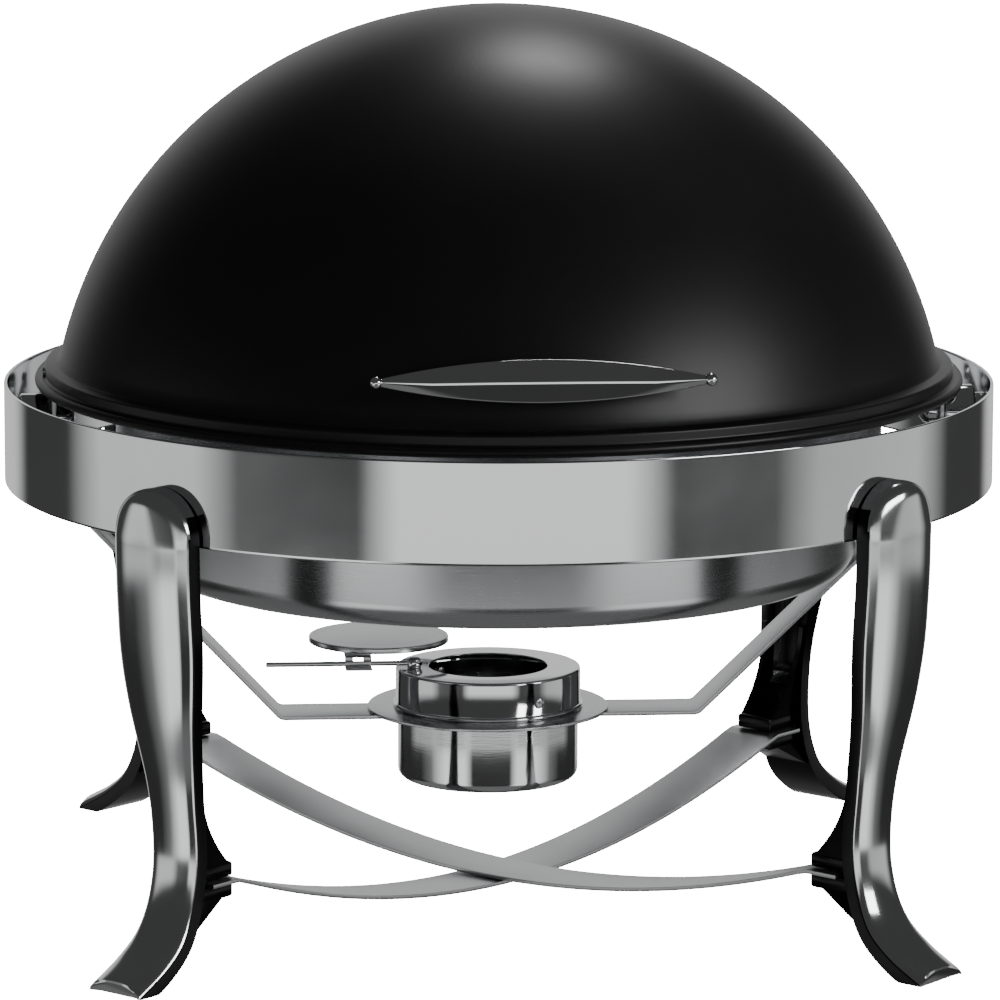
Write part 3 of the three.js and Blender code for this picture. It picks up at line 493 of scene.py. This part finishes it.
def handle():
    """The bar, a ball on each tip, and two waisted posts with studs through the dome."""
    back = HANDLE_REACH - HANDLE_DEPTH
    steps = 12
    ball = arc(0, 0, 2.9, -90, 90, steps)
    ball[0], ball[steps] = (0, ball[0][1]), (0, ball[steps][1])
    post = [(0, 0), (4.9, 0), (5.2, 0.8), (4.2, 2.2), (3.9, 4), (3.9, 9), (4.6, 10.6), (0, 10.6)]
    parts = [handle_bar(back)]
    for side in (-1, 1):
        parts.append(moved(turned(ball, 28), shift(back + 2.4, side * 76.1)))
        parts.append(moved(lying(turned(post, 32)), shift(216.1, side * HANDLE_STUD_X)))
        parts.append(moved(rod(SCREW_RADIUS, 204, 217), shift(0, side * HANDLE_STUD_X)))
    make("lid_handle", parts, "lid", "chrome", ["handle"], towards_handle(), sharp=28)


def lid_ears():
    half = EAR_HALF_WIDTH
    outline = [(half, EAR_TOP_Z), *arc(0, PIVOT_Z, half, 0, -180, 24), (-half, EAR_TOP_Z)]
    plate = plate_with_hole(outline, Vector((0, PIVOT_Z)), JOURNAL_HOLE, EAR_OUTER_X - SHEET, EAR_OUTER_X)
    for side, turn in SIDES.items():
        make(f"ear_{side}", [plate], "lid", "satin_sheet", [f"lid_ear_{side}"], turn_z(turn))


def farthest_crossing(outline, centre, bearing):
    """The point of a closed outline farthest out from the centre on a bearing."""
    direction = Vector((math.cos(bearing), math.sin(bearing)))
    best = 0
    for a, b in zip(outline, outline[1:] + outline[:1]):
        start, edge = Vector(a) - centre, Vector(b) - Vector(a)
        cross = direction.cross(edge)
        if abs(cross) < 1e-9:
            continue
        distance = start.cross(edge) / cross
        along_edge = start.cross(direction) / cross
        if -1e-6 <= along_edge <= 1 + 1e-6:
            best = max(best, distance)
    return centre + direction * best


def plate_with_hole(outline, centre, radius, x0, x1, ease=0.3):
    """A flat plate across X with a round hole; both edges have points on the same bearings."""
    corners = [math.atan2(z - centre.y, y - centre.x) for y, z in outline]
    evenly = [2 * math.pi * i / 72 - math.pi for i in range(72)]
    bearings = sorted({round(a, 5) for a in corners + evenly})
    bearings = [a for i, a in enumerate(bearings) if i == 0 or a - bearings[i - 1] > 1e-3]
    rows = []
    for x, inset in ((x0, ease), (x0 + ease, 0), (x1 - ease, 0), (x1, ease)):
        edge = [farthest_crossing(outline, centre, a) for a in bearings]
        edge = [p - (p - centre).normalized() * inset for p in edge]
        rows.append([Vector((x, *p)) for p in edge])
    for x in (x1, x0):
        hole = [centre + Vector((math.cos(a), math.sin(a))) * radius for a in bearings]
        rows.append([Vector((x, *p)) for p in hole])
    count = len(bearings)
    vertices = [p for row in rows for p in row]
    faces = []
    for s in range(len(rows)):
        a, b = s * count, ((s + 1) % len(rows)) * count
        for i in range(count):
            j = (i + 1) % count
            faces.append([a + i, a + j, b + j, b + i])
    return vertices, faces


def pivots():
    """On each side a hub with its journal on the ring's wall, and a domed nut inside the ear."""
    hub_inner, hub_outer, wall = 217.3, 232.5, RING_INNER - 0.4
    stud = [
        (0, 211), (3.6, 211), (4, 211.4), (4, hub_inner), (11, hub_inner), (12, hub_inner + 1),
        (12, hub_outer - 1), (11, hub_outer), (8, hub_outer), (8, wall), (0, wall),
    ]
    nut = [(0, 205.5), (3.5, 206), (6.2, 208), (7, 210), (7, 214.5), (4.3, 214.5), (4.3, 210.5), (0, 210.5)]
    hub = lying(turned(rounded(stud, [0, 0, 0, 0, 0.4, 0.6, 0.6, 0.4, 0.3, 0, 0], closed=False), 64))
    cap = lying(turned(rounded(nut, [0, 2, 2, 1, 0.2, 0, 0, 0], closed=False), 48))
    for side, turn in SIDES.items():
        place = turn_z(turn) @ shift(z=PIVOT_Z)
        make(f"pivot_hub_{side}", [hub], "stand", "chrome", [f"pivot_stud_{side}"], place)
        make(f"pivot_cap_{side}", [cap], "stand", "chrome", [f"pivot_nut_{side}"], place)


# ---------------------------------------------------------------- legs
# The edge of a leg's crowned face as (distance from the middle, height), from beyond the toe to the arch.
EDGE = [
    (290, -8), (274.5, 0), (256, 10), (242.4, 22), (234.8, 40), (232.3, 60), (235, 90), (241.3, 130),
    (245.2, 180), (246, 210.5),
]
STEPS_EACH = 10  # between two points of EDGE
ARCH_DEGREES = [*range(5, 61, 5), 64, 68, 72, 76, 80, 83, 86, 88]
CROWN_STEPS = 20


def smoothstep(value, low, high):
    t = min(max((value - low) / (high - low), 0), 1)
    return t * t * (3 - 2 * t)


def half_width(z):
    widening = (LEG_HALF_TOP - LEG_HALF_WAIST) * smoothstep(z, 75, 165)
    flare = (LEG_HALF_FOOT - LEG_HALF_WAIST) * (1 - smoothstep(z, 5, 40))
    return LEG_HALF_WAIST + widening + flare


def edge_curve():
    """A smooth line through the EDGE points."""
    points = [Vector(p) for p in EDGE]
    ends = [points[0] * 2 - points[1], *points, points[-1] * 2 - points[-2]]
    out = []
    for p0, p1, p2, p3 in zip(ends, ends[1:], ends[2:], ends[3:]):
        for k in range(STEPS_EACH):
            t = k / STEPS_EACH
            square = (2 * p0 - 5 * p1 + 4 * p2 - p3) * t ** 2
            cube = (3 * p1 - p0 - 3 * p2 + p3) * t ** 3
            out.append(0.5 * (2 * p1 + (p2 - p0) * t + square + cube))
    return out + [points[-1]]


def leg_section(edge, outward, half, hollow):
    """A crowned face, side walls and, where hollow is over 0, a channel in the back."""
    crown = LEG_CROWN * half
    outline = [(half, -LEG_DEPTH)]
    for i in range(CROWN_STEPS + 1):
        a = math.pi * i / CROWN_STEPS
        outline.append((half * math.cos(a), crown * math.sin(a)))
    outline.append((-half, -LEG_DEPTH))
    inner, inner_crown = max(half - LEG_WALL, 1), crown - 1.5
    for i in range(11):
        a = math.pi * (10 - i) / 10
        out = -LEG_DEPTH + hollow * (inner_crown * math.sin(a) + LEG_DEPTH)
        outline.append((inner * math.cos(a), out))
    return [Vector((edge.x, y, edge.y)) + outward * out for y, out in outline]


def arch_section(degrees):
    """A section of the leg's round top, whose crown stays full until just below the tip."""
    rise = math.sin(math.radians(degrees))
    half = LEG_HALF_TOP * math.cos(math.radians(degrees))
    section = leg_section(Vector((ARCH.x, ARCH.y + LEG_HALF_TOP * rise)), Vector((1, 0, 0)), half, 0)
    for v in section[1:CROWN_STEPS + 2]:
        full = LEG_CROWN * LEG_HALF_TOP * math.sqrt(max(1 - (v.y / LEG_HALF_TOP) ** 2, 0))
        side = max(1 - (v.y / half) ** 2, 0) ** (0.5 * rise)
        v.x = ARCH.x + full * side * math.sqrt(1 - rise ** 8)
    return section


def leg_casting():
    curve = edge_curve()
    sections = []
    for i, edge in enumerate(curve):
        if edge.x > TOE_RADIUS + 1.6:
            continue
        before, after = curve[max(i - 1, 0)], curve[min(i + 1, len(curve) - 1)]
        tangent = (after - before).normalized()
        outward = Vector((tangent.y, 0, -tangent.x))
        hollow = smoothstep(edge.y, 60, 74) * (1 - smoothstep(edge.y, 196, 206))
        sections.append(leg_section(edge, outward, half_width(edge.y), hollow))
    sections += [arch_section(degrees) for degrees in ARCH_DEGREES]
    vertices, faces = loft(sections)
    # The toe ends in a steep flat face and stands flat on the ground.
    foot = 24 * len(sections[0])
    flat = [Vector((min(v.x, TOE_RADIUS), v.y, max(v.z, 0))) for v in vertices[:foot]]
    return flat + vertices[foot:], faces


def socket():
    """The block that grips a brace end, two webs that rise from it, and its tapered underside."""
    half, outer = SOCKET_HALF_WIDTH, 233
    low, high = SOCKET_Z - SOCKET_HALF_HEIGHT, SOCKET_Z + SOCKET_HALF_HEIGHT
    slot = 1.4
    parts = [
        block((SOCKET_INNER, -half, SOCKET_Z + slot), (outer, half, high), 1.2),
        block((SOCKET_INNER, -half, low), (outer, half, SOCKET_Z - slot), 1.2),
        block((BRACE_TIP + 2.3, 0.1 - half, low + 1), (outer + 0.5, half - 0.1, high - 1), 0.5),
    ]
    for side in (-1, 1):
        web = []
        for i in range(25):
            t = i / 24
            x, z = 206.5 + 22 * (1 - (1 - t) ** 2.2), high - 1.5 + 46 * t
            outside, inside = side * (10.2 + 3.2 * t), side * (7.4 + 3.4 * t)
            corners = [(x, outside), (outer - 1, outside), (outer - 1, inside), (x, inside)]
            web.append([Vector((*corner, z)) for corner in corners])
        parts.append(loft(web))
    underside = []
    for i in range(13):
        t = i / 12
        x, z = 210 + 22 * t, low + 1.5 - 12 * t
        wide, reach = 10.2 + 3.2 * t, outer + 5 * t
        corners = rounded([(x, -wide), (reach, -wide), (reach, wide), (x, wide)], 0.8, steps=2)
        underside.append([Vector((*corner, z)) for corner in corners])
    return parts + [loft(underside)]


def faces_with_painted_shade(normal, middle):
    """True for a leg's side walls, channel and socket, which take painted shade: everything but the crowned
    face.
    """
    return abs(normal.y) > 0.97 or normal.x < 0.02 and normal.z < 0.5 or middle.x < 229


def legs():
    parts = [leg_casting(), *socket()]
    # The legs' side walls, channel and socket take the second material: painted shade in place of the dark
    # reflections of polished chrome.
    for where, turn in CORNERS.items():
        make(f"leg_{where}_casting", parts, "stand", "leg_chrome", [f"leg_{where}"],
             turn_z(turn), sharp=30, second=("painted_dark_reflection", faces_with_painted_shade))


def brace(name, node, middle_z, turn):
    """A strip that lies level in both sockets and hangs in a bow between them."""
    rise = SOCKET_Z - middle_z
    bow = []
    for i in range(81):
        x = -200 + 5 * i
        bow.append((x, middle_z + rise * (x / SOCKET_INNER) ** 2))
    left, right = [(-BRACE_TIP, SOCKET_Z), (-206, SOCKET_Z)], [(206, SOCKET_Z), (BRACE_TIP, SOCKET_Z)]
    shape = flat_strip(left + bow + right, BRACE_WIDTH, SHEET, bend=6)
    make(name, [shape], "stand", "satin_sheet", [node], turn_z(turn))


# ---------------------------------------------------------------- pans and their support
def water_pan():
    t = PAN_SHEET
    outside = [(174, 180), (174, STEP_Z), (186, STEP_Z), (186, 252.2), (186.4, 253)]
    rim = arc(188.6, 254.2, 1.15, -120, 100, 12)
    inside = [(186, 255.3), (184.8, 254.6), (184.8, STEP_Z + t), (172.8, STEP_Z + t), (172.8, 180)]
    profile = [(0, 163)] + arc(162, 175, 12, -90, 0, 14) + rounded(outside, 1.2, closed=False)[1:]
    profile += rim + rounded(inside, 1.0, closed=False)
    profile += arc(162, 175, 12 - t, 0, -90, 14) + [(0, 163 + t)]
    make("pan_water", [turned(profile, 224)], "stand", "satin_turned", ["water_pan"], sharp=40)


def food_pan():
    t, flange_low, top = PAN_SHEET, 255.5, 257
    wall = [(168.6, 206), (181, flange_low), (188, flange_low), (188, top), (179.8, top), (167.4, 206)]
    profile = [(0, 192)] + arc(158, 202, 10, -90, 0, 12) + rounded(wall, 0.6, closed=False)
    profile += arc(158, 202, 10 - t, 0, -90, 12) + [(0, 192 + t)]
    make("pan_food", [turned(profile, 192)], "food_pan", "satin_turned", ["food_pan"],
         sharp=40)


def support():
    """The ring that the water pan stands on, and an angle bracket on each side."""
    low, high = 209, 209 + SHEET
    profile = rounded([(176.3, low), (190, low), (190, high), (176.3, high)], 0.4)
    make("carrier_ring", [turned(profile, 160, closed=True)], "stand", "satin_turned",
         ["pan_support_ring"])
    path = [(179.5, BRACKET_MIDDLE_Z), (BRACKET_WALL_X, BRACKET_MIDDLE_Z), (BRACKET_WALL_X, 217.6)]
    angle = flat_strip(path, 28, SHEET, bend=0.8)
    for side, turn in SIDES.items():
        make(f"bracket_{side}", [angle], "stand", "satin_sheet",
             [f"support_bracket_{side}"], turn_z(turn))


# ---------------------------------------------------------------- burner
def burner_arm():
    """Two strips, level under the plate and then rising to a foot below a bracket, and the plate."""
    level = ARM_TOP - SHEET / 2
    for side, sign in (("right", 1), ("left", -1)):
        path = [
            (sign * 47 + BURNER_X, level),
            (sign * 102 + BURNER_X, level),
            (sign * 217, ARM_FOOT_Z),
            (sign * 231, ARM_FOOT_Z),
        ]
        make(f"arm_{side}", [flat_strip(path, ARM_WIDTH, SHEET, bend=5)], "stand", "satin_sheet",
             [f"burner_arm_{side}"])
    hole, low, high = CUP_RADIUS + 0.7, 91, 92.5
    profile = rounded([(hole, low), (59, low), (59, high), (hole, high)], 0.4)
    make("arm_plate", [turned(profile, 128, closed=True)], "stand", "satin_turned",
         ["burner_plate"], shift(BURNER_X))


def burner_cup():
    """A deep drawn cup with a dished floor."""
    t, inner, bend = CUP_WALL, CUP_RADIUS - CUP_WALL, 5
    bend_x, bend_z = CUP_RADIUS - bend, CUP_BOTTOM + bend
    outside = [(0, CUP_BOTTOM + t), (30, CUP_BOTTOM + t), (33, CUP_BOTTOM)]
    outside += arc(bend_x, bend_z, bend, -90, 0, 10)
    wall = [(CUP_RADIUS, 80), (CUP_RADIUS, 106), (inner, 106), (inner, 80)]
    inside = arc(bend_x, bend_z, bend - t, 0, -90, 10)
    floor = [(33, CUP_BOTTOM + t), (30, CUP_BOTTOM + 2 * t), (0, CUP_BOTTOM + 2 * t)]
    make("cup", [turned(outside + wall + inside + floor, 128)], "burner", "burner_chrome",
         ["burner_cup"], shift(BURNER_X), sharp=40)


def burner_collar():
    """The collar round the cup's top: a foot bead, a wall and a flat rim round the flame hole."""
    inner = CUP_RADIUS + 0.3
    wall = [(COLLAR_RADIUS, 95.2), (COLLAR_RADIUS, COLLAR_TOP), (29.3, COLLAR_TOP)]
    profile = [(inner, 92.8)] + arc(45.6, 93.8, 1, -90, 90, 8)
    profile += rounded(wall, 1.6, closed=False, steps=6)
    profile += arc(29.4, COLLAR_TOP - 0.4, 0.4, 90, 270, 5) + [(inner, COLLAR_TOP - 0.8)]
    make("collar", [turned(profile, 128, closed=True)], "burner", "burner_chrome",
         ["burner_collar"], shift(BURNER_X), sharp=40)


def burner_rivets():
    """Two rivets through collar and cup, and the one that the snuffer turns on."""
    rivet = [
        (0, 41.7), (2.2, 42.2), (2.7, 43.1), (1.5, 43.1), (1.5, 45.4), (2.7, 45.4), (2.3, 46.3),
        (1.2, 46.7), (0, 46.8),
    ]
    shape = moved(lying(turned(rivet, 32)), shift(z=RIVET_Z))
    for where, degrees in (("front", -61), ("rear", 119)):
        make(f"rivet_{where}", [shape], "burner", "fastener_steel",
             [f"collar_rivet_{where}"], shift(BURNER_X) @ turn_z(math.radians(degrees)))
    pivot = [
        (0, 109.7), (2.6, 109.9), (3, 110.9), (1.8, 110.9), (1.8, 112.3), (3.4, 112.3), (3.4, 113),
        (1.8, 113), (1.8, 115.6), (3.4, 115.6), (3.2, 116.4), (2.4, 117), (1.2, 117.25), (0, 117.3),
    ]
    make("snuffer_rivet", [turned(pivot, 40)], "burner", "fastener_steel",
         ["snuffer_pivot"], shift(*SNUFFER_PIVOT))


# ---------------------------------------------------------------- snuffer
def snuffer_cap():
    r, top, t = SNUFFER_RADIUS, 122, 0.8
    high, under, low = top - 0.1, top - 0.9, top - 3
    rim = [(30, high), (r, high), (r, low), (r - t, low), (r - t, under), (28, under)]
    profile = [(0, top), (26, top), (28, high), *rounded(rim, 0.7, closed=False), (0, top - t)]
    make("snuffer_cap", [turned(profile, 128)], "snuffer", "satin_turned", ["snuffer_disc"],
         shift(*SNUFFER_PIVOT) @ shift(*SNUFFER_OPEN))


def snuffer_strip():
    """A strip with a slot that hangs from under the disc, passes in front of the lever and ends in a lip."""
    left, right, low, top, front = -34, -21, 112.8, 118.7, -1.55
    slot_low, slot_high, jamb = 115.85, 117.85, 4
    parts = [
        block((left, front - 9, low), (right, front, low + 1), 0.3),
        block((left, front - 1, low), (right, front, slot_low), 0.3),
        block((left, front - 1, slot_low - 0.3), (left + jamb, front, slot_high + 0.3), 0.1),
        block((right - jamb, front - 1, slot_low - 0.3), (right, front, slot_high + 0.3), 0.1),
        block((left, front - 1, slot_high), (right, front, top), 0.3),
        block((left, front - 1, top - 1), (right, 16, top), 0.3),
    ]
    make("snuffer_strip", parts, "snuffer", "satin_sheet", ["snuffer_tab"],
         shift(*SNUFFER_PIVOT))


def snuffer_rod():
    """The lever's wire and the flat eye that turns on the rivet."""
    eye = turned(rounded([(2.1, -1), (4, -1), (4, 1), (2.1, 1)], 0.3), 40, closed=True)
    lever = [moved(shape, shift(z=LEVER_Z)) for shape in (rod(1.25, -72.5, -2.6), eye)]
    make("snuffer_rod", lever, "snuffer", "chrome", ["snuffer_lever"], shift(*SNUFFER_PIVOT))


# ---------------------------------------------------------------- build
ring()
lid_shell()
handle()
lid_ears()
pivots()
legs()
brace("brace_strip_upper", "brace_upper", 9.7, CORNERS["front_right"])
brace("brace_strip_lower", "brace_lower", 7.1, CORNERS["front_left"])
water_pan()
food_pan()
support()
burner_arm()
burner_cup()
burner_collar()
burner_rivets()
snuffer_cap()
snuffer_strip()
snuffer_rod()

# The screws, nuts and ear rivets stay as the CAD has them.
for node in frame["nodes"].values():
    if not node.hide_render:
        for place in node.material_slots:
            place.material = MATERIALS["fastener_steel"]


# ---------------------------------------------------------------- studio
WHITE = 22.0  # what the camera sees behind the object
CEILING = 0.05
NADIR = 0.15
REAR = 0.7


def bearing(degrees):
    """Ramp position of a direction: 0 is the front (-Y), positive towards +X."""
    a = math.radians(degrees)
    return (math.atan2(math.sin(a), -math.cos(a)) + math.pi) / (2 * math.pi)


def stops(pairs):
    return sorted((bearing(degrees), value) for degrees, value in pairs)


# Brightness round the studio, as (bearing in degrees, value): level with the object, and lower down.
PANELS = stops((
    (-179.9, 0.05), (-122, 0.05), (-108, 0.7), (-78, 0.7), (-66, 0.12), (-36, 0.07), (-27, 1.0),
    (-5, 1.0), (25, 1.0), (36, 0.07), (62, 0.1), (74, 0.5), (108, 0.6), (122, 0.05), (179.9, 0.05),
))
LOW_PANELS = stops((
    (-179.9, 0.03), (-100, 0.03), (-82, 0.18), (-60, 1.2), (-34, 1.2), (-24, 0.04), (24, 0.04), (34, 1.2),
    (60, 1.2), (82, 0.18), (100, 0.03), (179.9, 0.03),
))


def area(name, location, target, width, height, power):
    light = bpy.data.lights.new(name, "AREA")
    light.energy = power
    light.shape = "RECTANGLE"
    light.size, light.size_y = width, height
    lamp = bpy.data.objects.new(name, light)
    lamp.location = location
    lamp.rotation_mode = "QUATERNION"
    lamp.rotation_quaternion = (Vector(target) - Vector(location)).to_track_quat("-Z", "Y")
    bpy.context.scene.collection.objects.link(lamp)


def studio():
    """The floor, and two soft lights whose reflections are the dome's highlights."""
    bpy.ops.mesh.primitive_plane_add(size=14, location=(0, 0, -0.0006))
    floor = bpy.context.object
    floor.name = "floor"
    floor.data.materials.append(floor_paper())
    floor.visible_glossy = False
    area("top_box", (0.35, 1.35, 2.2), (0, 0, 0.2), 0.5, 0.5, 11)
    area("key_box", (1.75, -1.5, 0.93), (0, 0, 0.3), 1.35, 0.75, 22)


class Sky(Nodes):
    """The world's node tree, with the same short calls."""

    def __init__(self, name):
        self.world = bpy.data.worlds.new(name)
        self.world.use_nodes = True
        self.tree = self.world.node_tree
        self.shader = self.tree.nodes["Background"]

    def eased(self, value, start, end):
        node = self.add("MapRange", {"Value": value}, interpolation_type="SMOOTHSTEP")
        node.inputs["From Min"].default_value = start
        node.inputs["From Max"].default_value = end
        return node.outputs["Result"]

    def ramp(self, place, pairs):
        node = self.add("ValToRGB", {"Fac": place})
        elements = node.color_ramp.elements
        elements.remove(elements[0])
        elements[0].position = pairs[0][0]
        for position, _ in pairs[1:]:
            elements.new(position)
        for element, (_, value) in zip(elements, pairs):
            element.color = (value, value, value, 1)
        return node.outputs["Color"]

    def towards(self, factor, colour, grey):
        return self.blend(factor, colour, (grey, grey, grey))


def world():
    """White to the camera; in reflections a studio of bright panels with dark gaps between them."""
    sky = Sky("studio")
    bpy.context.scene.world = sky.world
    direction = sky.add("TexCoord").outputs["Generated"]
    parts = sky.add("SeparateXYZ", {"Vector": direction})
    turn = sky.add("Math", {0: parts.outputs["X"], 1: parts.outputs["Y"]}, operation="ARCTAN2")
    place = sky.ranged(turn.outputs["Value"], 0, 1, -math.pi, math.pi)
    height = parts.outputs["Z"]
    shade = sky.blend(sky.eased(height, -0.203, -0.23), sky.ramp(place, PANELS), sky.ramp(place, LOW_PANELS))
    shade = sky.towards(sky.eased(height, -0.02, 0.14), shade, CEILING)
    shade = sky.towards(sky.eased(height, -0.5, -0.6), shade, NADIR)
    shade = sky.towards(sky.eased(parts.outputs["Y"], 0.8, 0.92), shade, REAR)
    seen = sky.add("LightPath").outputs["Is Camera Ray"]
    sky.feed("Color", sky.towards(seen, shade, WHITE))


def camera():
    """A long lens a little to the left of the front and above it, as in the photo."""
    lens = bpy.data.cameras.new("camera")
    lens.lens = 235.5
    lens.sensor_width = 36
    lens.clip_end = 50
    eye = bpy.data.objects.new("camera", lens)
    bpy.context.scene.collection.objects.link(eye)
    eye.location = Vector((-237.6, -3129.4, 767.0)) * MM
    eye.rotation_mode = "QUATERNION"
    look = Vector((0.0747, 0.9809, -0.1796)).to_track_quat("-Z", "Y")
    eye.rotation_quaternion = look @ Quaternion((0, 0, 1), math.radians(0.13))
    bpy.context.scene.camera = eye


studio()
world()
camera()

bpy.context.view_layer.update()
